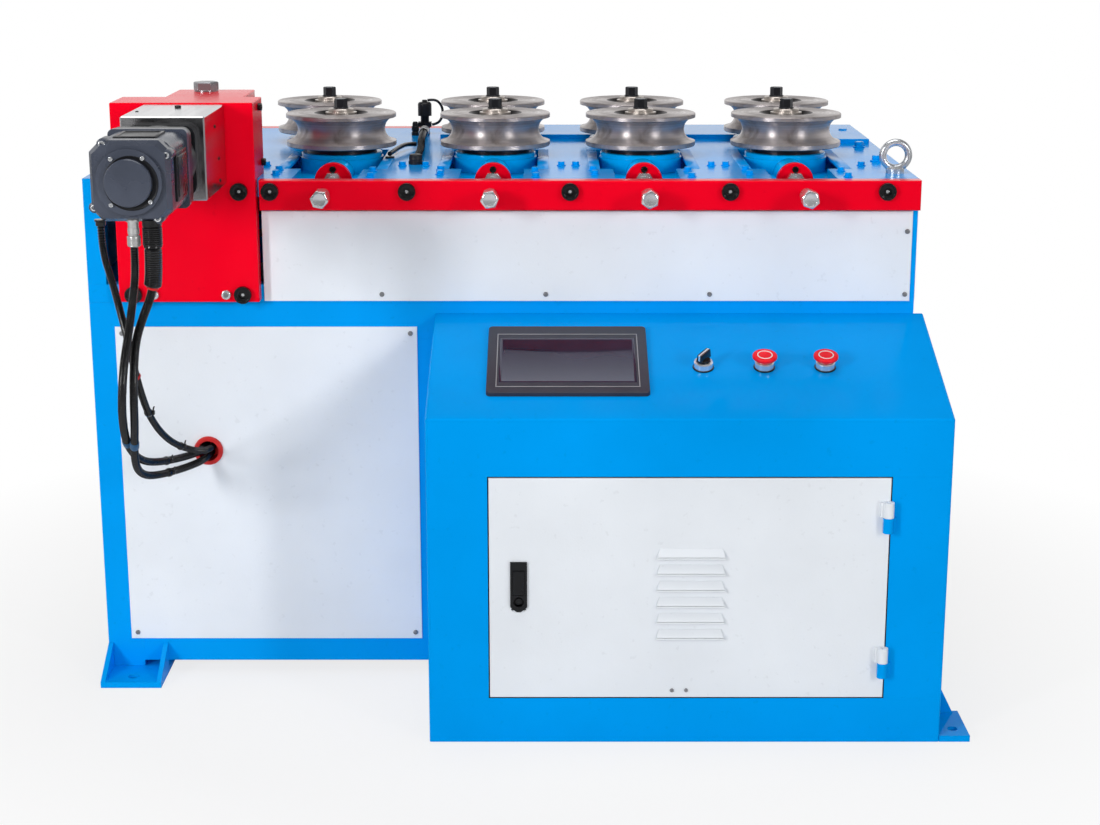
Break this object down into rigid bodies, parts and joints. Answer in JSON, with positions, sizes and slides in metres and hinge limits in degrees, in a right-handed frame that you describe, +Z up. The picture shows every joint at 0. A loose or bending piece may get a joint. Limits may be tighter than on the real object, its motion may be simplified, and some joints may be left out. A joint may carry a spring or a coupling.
{
  "type": "roll bending machine",
  "caption": "Roll bending machine with two rows of grooved rolls on a steel deck, servo drive head, adjustable front roll carriages and a sloping control console with a hinged door.",
  "frame": {"origin": "middle of the footprint on the floor", "axes": "+X along the rows of rolls to the right, +Y to the rear, +Z up"},
  "size_m": [1.408, 1.319, 0.981],
  "materials": {
    "blue_paint": "gloss",
    "pale_paint": "satin",
    "red_paint": "gloss",
    "black_bolt": "black oxide",
    "zinc": "zinc plated",
    "roll_steel": "turned",
    "spindle_steel": "turned",
    "nickel_steel": "satin",
    "black_cast": "satin black",
    "motor_paint": "satin",
    "connector_metal": "nickel plated",
    "shaft_steel": "ground",
    "cable_black": "braided sleeve",
    "red_rubber": "matt",
    "screen_case": "fine texture",
    "bezel_chrome": "polished",
    "knob_black": "gloss",
    "mushroom_red": "gloss",
    "lock_black": "satin",
    "electrics_grey": "satin",
    "sensor_black": "satin"
  },
  "bodies": {
    "machine": {"base_frame": "blue_paint", "deck_plate": "blue_paint", "upper_body": "blue_paint", "cover_panels": "pale_paint", "rails_and_drive_housing": "red_paint", "rail_bolts": "black_bolt", "plated_fasteners": "zinc", "adaptor_block": "nickel_steel", "reducer": "black_cast", "servo_motor": "motor_paint", "motor_connectors": "connector_metal", "drive_chains": "shaft_steel", "motor_cable_1": "cable_black", "motor_cable_2": "cable_black", "motor_cable_3": "cable_black", "cable_grommet": "red_rubber", "console_shell": "blue_paint", "touch_screen": "screen_case", "button_bezels": "bezel_chrome", "electrics": "electrics_grey", "tube_sensor": "sensor_black", "sensor_lead": "cable_black", "sensor_conduit": "cable_black", "sensor_branch": "cable_black"},
    "carriage_1": {"carriage_1": "blue_paint", "retainer_1": "red_paint"},
    "screw_1": {"adjusting_screw_1": "zinc"},
    "front_roll_1": {"front_roll_1": "roll_steel", "front_spindle_1": "spindle_steel"},
    "carriage_2": {"carriage_2": "blue_paint", "retainer_2": "red_paint"},
    "screw_2": {"adjusting_screw_2": "zinc"},
    "front_roll_2": {"front_roll_2": "roll_steel", "front_spindle_2": "spindle_steel"},
    "carriage_3": {"carriage_3": "blue_paint", "retainer_3": "red_paint"},
    "screw_3": {"adjusting_screw_3": "zinc"},
    "front_roll_3": {"front_roll_3": "roll_steel", "front_spindle_3": "spindle_steel"},
    "carriage_4": {"carriage_4": "blue_paint", "retainer_4": "red_paint"},
    "screw_4": {"adjusting_screw_4": "zinc"},
    "front_roll_4": {"front_roll_4": "roll_steel", "front_spindle_4": "spindle_steel"},
    "rear_roll_1": {"rear_roll_1": "roll_steel", "rear_spindle_1": "spindle_steel"},
    "rear_roll_2": {"rear_roll_2": "roll_steel", "rear_spindle_2": "spindle_steel"},
    "rear_roll_3": {"rear_roll_3": "roll_steel", "rear_spindle_3": "spindle_steel"},
    "rear_roll_4": {"rear_roll_4": "roll_steel", "rear_spindle_4": "spindle_steel"},
    "output_shaft": {"output_shaft": "shaft_steel"},
    "input_shaft": {"input_shaft": "shaft_steel"},
    "door": {"console_door": "pale_paint", "door_lock": "lock_black"},
    "lock_lever": {"lock_lever": "lock_black"},
    "selector": {"selector_knob": "knob_black"},
    "stop_1": {"stop_button_1": "mushroom_red"},
    "stop_2": {"stop_button_2": "mushroom_red"}
  },
  "joints": [
    {"name": "carriage_slide_1", "type": "slide", "parent": "machine", "child": "carriage_1", "axis": [0, 1, 0], "range_m": [-0.02, 0.02]},
    {"name": "screw_turn_1", "type": "hinge", "parent": "carriage_1", "child": "screw_1", "pos_m": [-0.314, -0.1825, 0.819], "axis": [0, 1, 0], "range_deg": [-1445, 1445]},
    {"name": "front_roll_spin_1", "type": "hinge", "parent": "carriage_1", "child": "front_roll_1", "pos_m": [-0.314, 0.1075, 0.89], "axis": [0, 0, 1], "continuous": true},
    {"name": "carriage_slide_2", "type": "slide", "parent": "machine", "child": "carriage_2", "axis": [0, 1, 0], "range_m": [-0.02, 0.02]},
    {"name": "screw_turn_2", "type": "hinge", "parent": "carriage_2", "child": "screw_2", "pos_m": [-0.047, -0.1825, 0.819], "axis": [0, 1, 0], "range_deg": [-1445, 1445]},
    {"name": "front_roll_spin_2", "type": "hinge", "parent": "carriage_2", "child": "front_roll_2", "pos_m": [-0.047, 0.1075, 0.89], "axis": [0, 0, 1], "continuous": true},
    {"name": "carriage_slide_3", "type": "slide", "parent": "machine", "child": "carriage_3", "axis": [0, 1, 0], "range_m": [-0.02, 0.02]},
    {"name": "screw_turn_3", "type": "hinge", "parent": "carriage_3", "child": "screw_3", "pos_m": [0.205, -0.1825, 0.819], "axis": [0, 1, 0], "range_deg": [-1445, 1445]},
    {"name": "front_roll_spin_3", "type": "hinge", "parent": "carriage_3", "child": "front_roll_3", "pos_m": [0.205, 0.1075, 0.89], "axis": [0, 0, 1], "continuous": true},
    {"name": "carriage_slide_4", "type": "slide", "parent": "machine", "child": "carriage_4", "axis": [0, 1, 0], "range_m": [-0.02, 0.02]},
    {"name": "screw_turn_4", "type": "hinge", "parent": "carriage_4", "child": "screw_4", "pos_m": [0.457, -0.1825, 0.819], "axis": [0, 1, 0], "range_deg": [-1445, 1445]},
    {"name": "front_roll_spin_4", "type": "hinge", "parent": "carriage_4", "child": "front_roll_4", "pos_m": [0.457, 0.1075, 0.89], "axis": [0, 0, 1], "continuous": true},
    {"name": "rear_roll_spin_1", "type": "hinge", "parent": "machine", "child": "rear_roll_1", "pos_m": [-0.357, 0.3275, 0.89], "axis": [0, 0, 1], "continuous": true},
    {"name": "rear_roll_spin_2", "type": "hinge", "parent": "machine", "child": "rear_roll_2", "pos_m": [-0.057, 0.3275, 0.89], "axis": [0, 0, 1], "continuous": true},
    {"name": "rear_roll_spin_3", "type": "hinge", "parent": "machine", "child": "rear_roll_3", "pos_m": [0.198, 0.3275, 0.89], "axis": [0, 0, 1], "continuous": true},
    {"name": "rear_roll_spin_4", "type": "hinge", "parent": "machine", "child": "rear_roll_4", "pos_m": [0.464, 0.3275, 0.89], "axis": [0, 0, 1], "continuous": true},
    {"name": "output_spin", "type": "hinge", "parent": "machine", "child": "output_shaft", "pos_m": [-0.529, -0.0425, 0.8], "axis": [0, 0, 1], "continuous": true},
    {"name": "input_spin", "type": "hinge", "parent": "machine", "child": "input_shaft", "pos_m": [-0.529, -0.1825, 0.9], "axis": [0, 1, 0], "continuous": true},
    {"name": "door_swing", "type": "hinge", "parent": "machine", "child": "door", "pos_m": [0.5605, -0.4875, 0.252], "axis": [0, 0, 1], "range_deg": [0, 110]},
    {"name": "lever_lift", "type": "hinge", "parent": "door", "child": "lock_lever", "pos_m": [0, -0.4803, 0.2797], "axis": [-1, 0, 0], "range_deg": [0, 40]},
    {"name": "selector_turn", "type": "hinge", "parent": "machine", "child": "selector", "pos_m": [0.287, -0.34033, 0.56833], "axis": [0, -0.322, 0.9468], "range_deg": [-45, 45]},
    {"name": "stop_press_1", "type": "slide", "parent": "machine", "child": "stop_1", "axis": [0, 0.322, -0.9468], "range_m": [0, 0.0035], "stiffness_N_per_m": 1500},
    {"name": "stop_press_2", "type": "slide", "parent": "machine", "child": "stop_2", "axis": [0, 0.322, -0.9468], "range_m": [0, 0.0035], "stiffness_N_per_m": 1500}
  ],
  "couplings": [
    {"joint": "screw_turn_1", "follows": "carriage_slide_1", "rad_per_m": 1256.6},
    {"joint": "screw_turn_2", "follows": "carriage_slide_2", "rad_per_m": 1256.6},
    {"joint": "screw_turn_3", "follows": "carriage_slide_3", "rad_per_m": 1256.6},
    {"joint": "screw_turn_4", "follows": "carriage_slide_4", "rad_per_m": 1256.6},
    {"joint": "rear_roll_spin_2", "follows": "rear_roll_spin_1", "ratio": 1},
    {"joint": "rear_roll_spin_3", "follows": "rear_roll_spin_1", "ratio": 1},
    {"joint": "rear_roll_spin_4", "follows": "rear_roll_spin_1", "ratio": 1},
    {"joint": "output_spin", "follows": "rear_roll_spin_1", "ratio": 1},
    {"joint": "input_spin", "follows": "rear_roll_spin_1", "ratio": -1}
  ]
}
